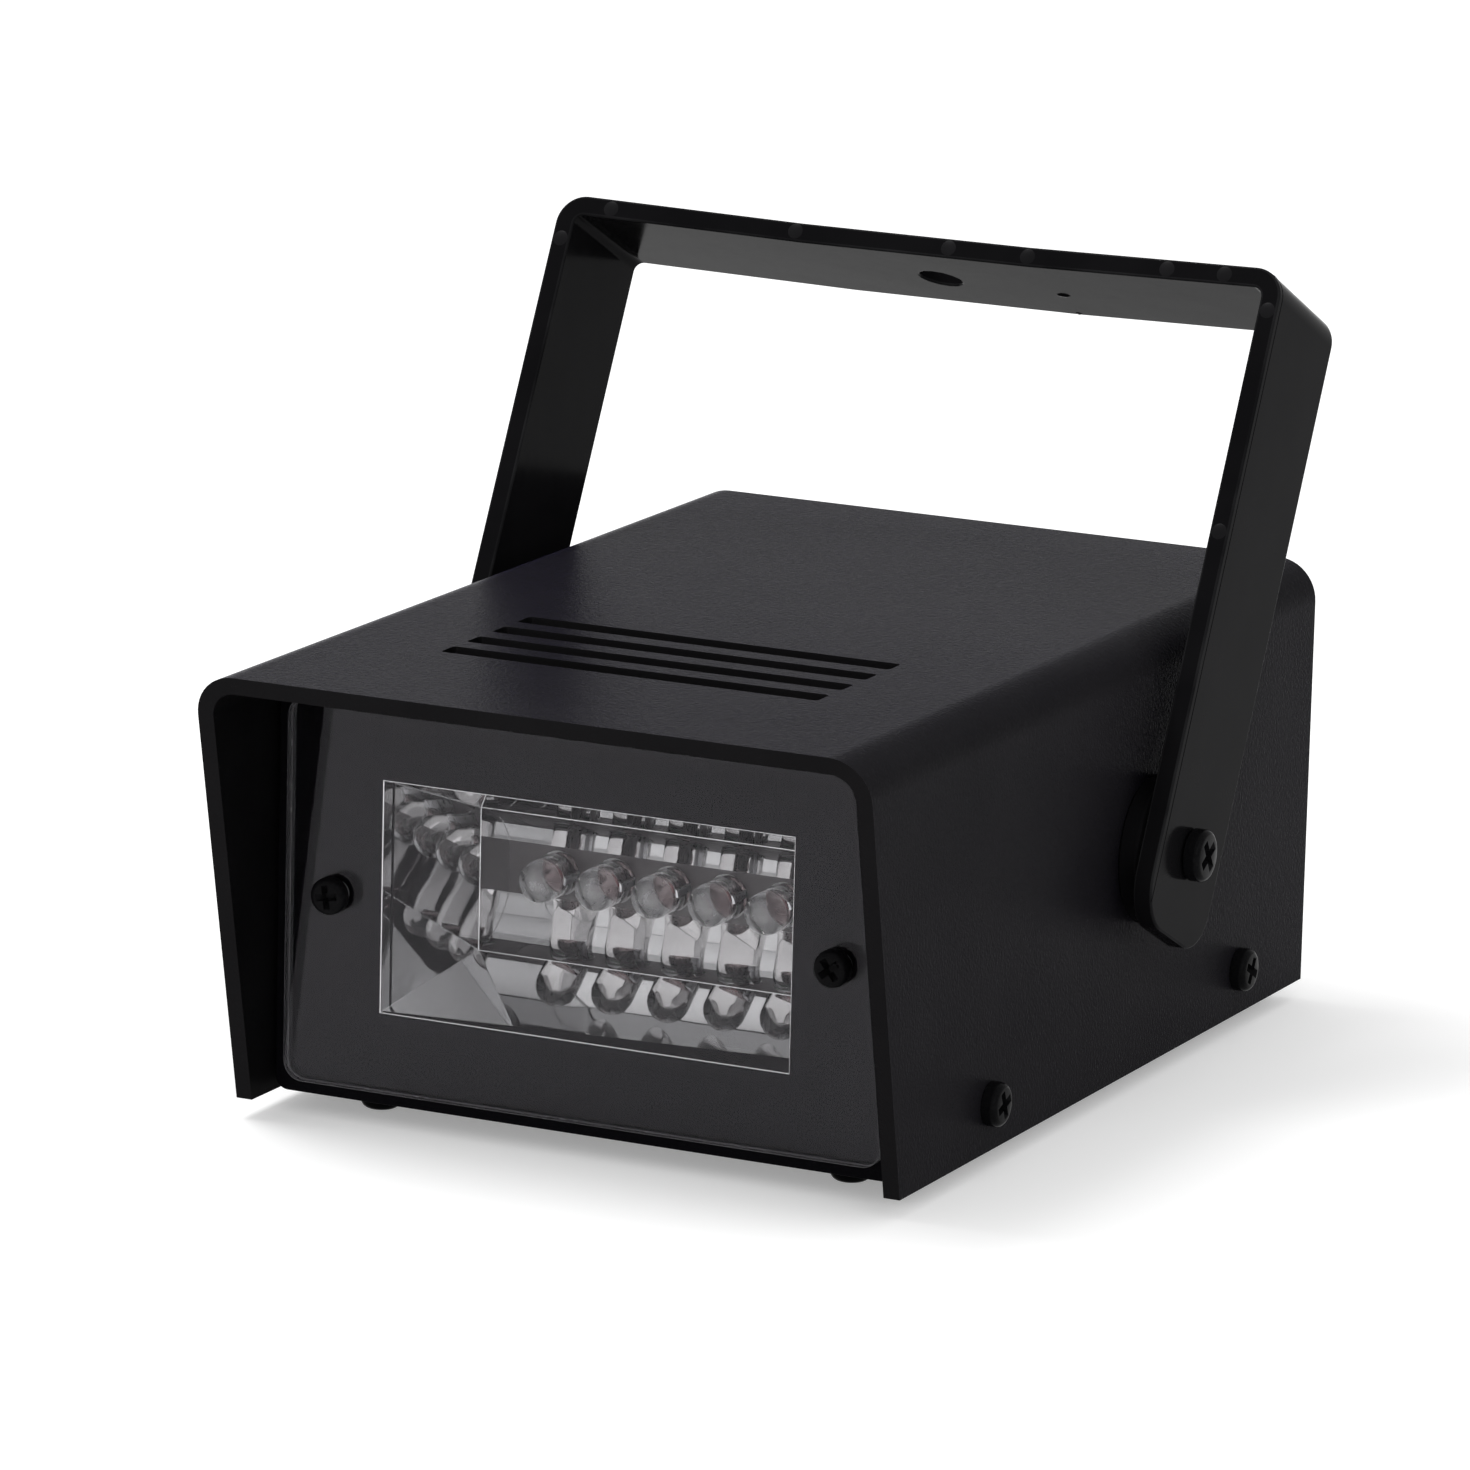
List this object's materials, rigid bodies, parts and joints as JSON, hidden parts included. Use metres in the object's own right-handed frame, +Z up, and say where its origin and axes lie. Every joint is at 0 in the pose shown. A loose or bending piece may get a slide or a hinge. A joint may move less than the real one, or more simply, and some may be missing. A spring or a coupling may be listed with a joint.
{
  "type": "strobe light",
  "caption": "Small strobe light: a row of clear lamps in a chromed trough reflector behind a clear pane, in a black visored case on a tilting yoke.",
  "frame": {"origin": "middle of the underside of the box around the whole part, at the level of the floor it stands on", "axes": "+X right as seen from the front, +Y from front to rear, +Z up; the lamps shine along -Y"},
  "size_m": [0.0996, 0.1398, 0.0945],
  "materials": {
    "black_moulding": "fine spark-eroded texture",
    "gloss_black": "glossy as moulded",
    "clear_plastic": "clear, polished",
    "metallised_plastic": "vacuum metallised, mirror bright",
    "black_screw": "black oxide, oiled",
    "zinc_plating": "bright zinc",
    "circuit_board": "green solder resist",
    "black_resin": "moulded resin",
    "capacitor_sleeve": "shrink sleeve",
    "red_wire": "vinyl insulation",
    "black_wire": "vinyl insulation",
    "knob_plastic": "satin as moulded"
  },
  "bodies": {
    "housing": {"board_nut_front_left": "zinc_plating", "board_nut_front_right": "zinc_plating", "board_nut_rear_left": "zinc_plating", "board_nut_rear_right": "zinc_plating", "board_spacer_front_left": "black_resin", "board_spacer_front_right": "black_resin", "board_spacer_rear_left": "black_resin", "board_spacer_rear_right": "black_resin", "chassis": "black_moulding", "control_board": "circuit_board", "floor_screw_front_left": "black_screw", "floor_screw_front_right": "black_screw", "floor_screw_rear_left": "black_screw", "floor_screw_rear_right": "black_screw", "front_pane": "clear_plastic", "inlet_wire_black": "black_wire", "inlet_wire_red": "red_wire", "lamp_1": "clear_plastic", "lamp_2": "clear_plastic", "lamp_3": "clear_plastic", "lamp_4": "clear_plastic", "lamp_5": "clear_plastic", "lamp_board": "circuit_board", "lamp_board_screw_left": "zinc_plating", "lamp_board_screw_right": "zinc_plating", "lamp_wire_black": "black_wire", "lamp_wire_red": "red_wire", "main_capacitor": "capacitor_sleeve", "pane_nut_left": "zinc_plating", "pane_nut_right": "zinc_plating", "pane_screw_left": "black_screw", "pane_screw_right": "black_screw", "pivot_nut_left": "zinc_plating", "pivot_nut_right": "zinc_plating", "pivot_screw_left": "black_screw", "pivot_screw_right": "black_screw", "pivot_spacer_left": "gloss_black", "pivot_spacer_right": "gloss_black", "power_inlet": "black_resin", "power_inlet_nut": "zinc_plating", "rectifier": "black_resin", "reflector": "metallised_plastic", "side_screw_front_left": "black_screw", "side_screw_front_right": "black_screw", "side_screw_rear_left": "black_screw", "side_screw_rear_right": "black_screw", "speed_control": "zinc_plating", "speed_control_nut": "zinc_plating", "speed_wire_black": "black_wire", "speed_wire_red": "red_wire", "switching_transistor": "black_resin", "timer_chip": "black_resin", "timing_capacitor": "capacitor_sleeve", "top_cover": "black_moulding"},
    "yoke_frame": {"yoke": "gloss_black"},
    "speed_dial": {"speed_knob": "knob_plastic", "speed_shaft": "zinc_plating"}
  },
  "joints": [
    {"name": "yoke_tilt", "type": "hinge", "parent": "housing", "child": "yoke_frame", "pos_m": [0, 0.0077, 0.0289], "axis": [1, 0, 0], "range_deg": [-73.5, 83.5]},
    {"name": "speed_turn", "type": "hinge", "parent": "housing", "child": "speed_dial", "pos_m": [-0.018, 0.0561, 0.0289], "axis": [0, 1, 0], "range_deg": [-150, 150]}
  ]
}
